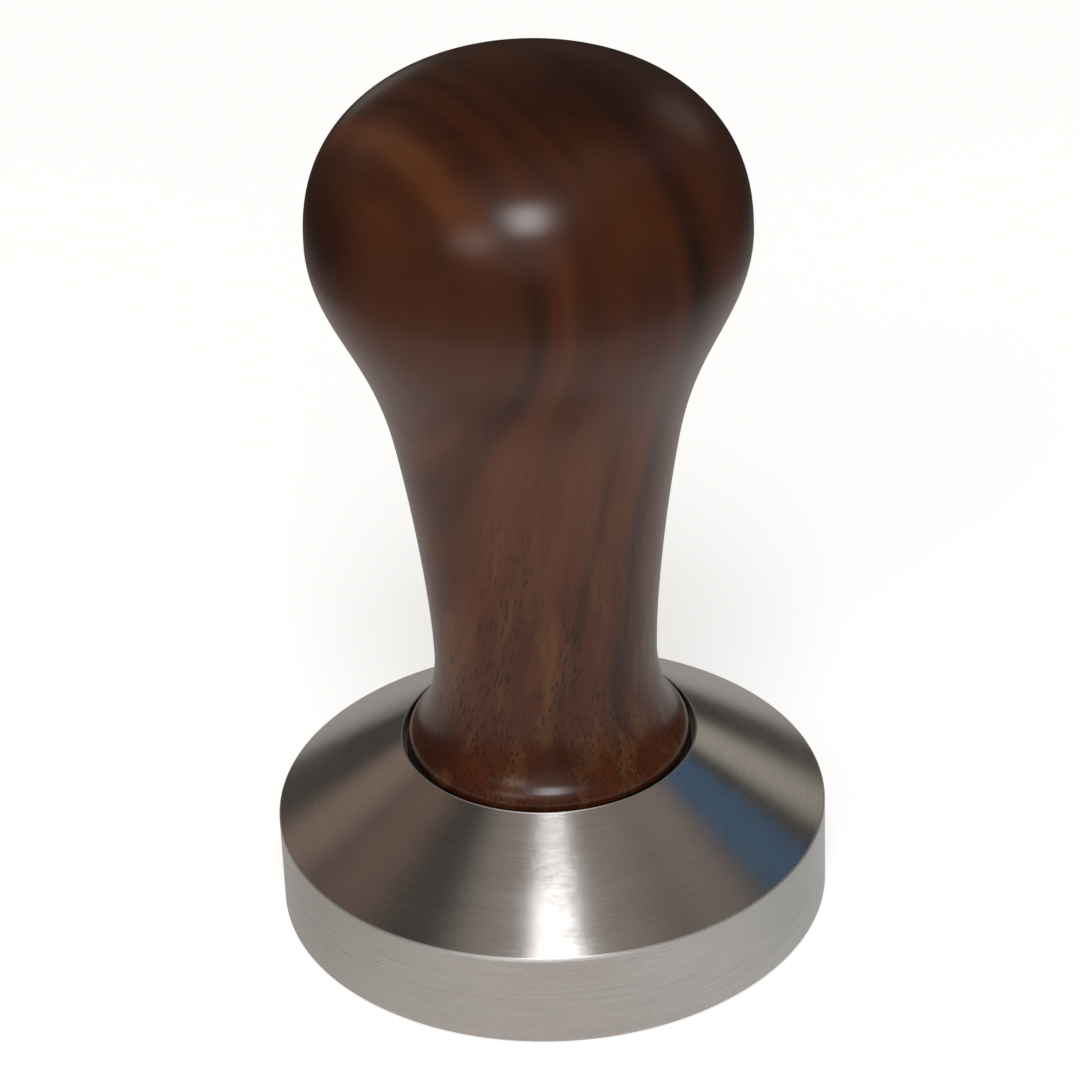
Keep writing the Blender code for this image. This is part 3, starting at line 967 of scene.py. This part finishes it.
def make_world():
    """Dim surroundings with the soft cards, and a pale backdrop for the camera."""
    world = bpy.data.worlds.new("studio")
    bpy.context.scene.world = world
    world.use_nodes = True
    tree = world.node_tree
    tree.nodes.clear()
    graph = Graph(tree)
    outward = graph.node("TexCoord", output="Generated")
    height = graph.node("SeparateXYZ", {0: outward}, "Z")
    light = graph.mix(graph.remap(height, -0.05, 0.05, smooth=True), BELOW_TABLE, SURROUNDINGS)
    for elevation, azimuth, half_width, softness, colour in CARDS:
        middle = direction(elevation, azimuth)
        towards = graph.vector("DOT_PRODUCT", outward, middle, output="Value")
        edge = math.cos(math.radians(half_width + softness))
        core = math.cos(math.radians(max(half_width - softness, 0.0)))
        card = graph.remap(towards, edge, core, smooth=True)
        light = graph.mix(card, light, graph.mix(1.0, light, (*colour, 1.0), "ADD"))
    around = graph.node("Background", {"Color": light, "Strength": 1.0})
    behind = graph.node("Background", {"Color": BACKDROP, "Strength": 1.0})
    camera_ray = graph.node("LightPath", output="Is Camera Ray")
    shown = graph.node("MixShader", {0: camera_ray, 1: around, 2: behind})
    out = tree.nodes.new("ShaderNodeOutputWorld")
    tree.links.new(shown, out.inputs["Surface"])


def add_area_light(name, settings, glossy):
    """A rectangular light that faces the tamper. Steel and lacquer show it if it's glossy."""
    elevation, azimuth, distance, size, power, colour = settings
    light = bpy.data.lights.new(name, "AREA")
    light.shape = "RECTANGLE"
    light.size, light.size_y = size
    light.energy = power
    light.color = colour
    made = add_object(name, light)
    towards = direction(elevation, azimuth)
    made.location = LIGHT_TARGET + distance * towards
    made.rotation_euler = towards.to_track_quat("Z", "Y").to_euler()
    made.visible_camera = False
    made.visible_glossy = glossy


def make_lights():
    add_area_light("key", KEY, glossy=True)
    add_area_light("fill", FILL, glossy=False)


def make_camera():
    """The photograph's view: from in front and above, a little rolled."""
    camera = bpy.data.cameras.new("camera")
    camera.sensor_width = SENSOR_WIDTH
    camera.lens = FOCAL_LENGTH
    camera.clip_start = NEAREST_SEEN
    camera.clip_end = FARTHEST_SEEN
    made = add_object("camera", camera)
    forward = CAMERA_TARGET - CAMERA_LOCATION
    turn = forward.to_track_quat("-Z", "Y").to_matrix() @ Matrix.Rotation(-CAMERA_ROLL, 3, "Z")
    made.matrix_world = Matrix.Translation(CAMERA_LOCATION) @ turn.to_4x4()
    bpy.context.scene.camera = made


make_base(steel_material())
make_stud(plain_metal("stud_steel_finish", STUD_COLOUR, 0.34))
make_insert(plain_metal("brass_finish", BRASS_COLOUR, 0.32))
make_gasket(rubber_material())
make_handle(walnut_material())
make_floor()
make_table_glow()
make_world()
make_lights()
make_camera()
bpy.context.scene.view_settings.view_transform = "Standard"
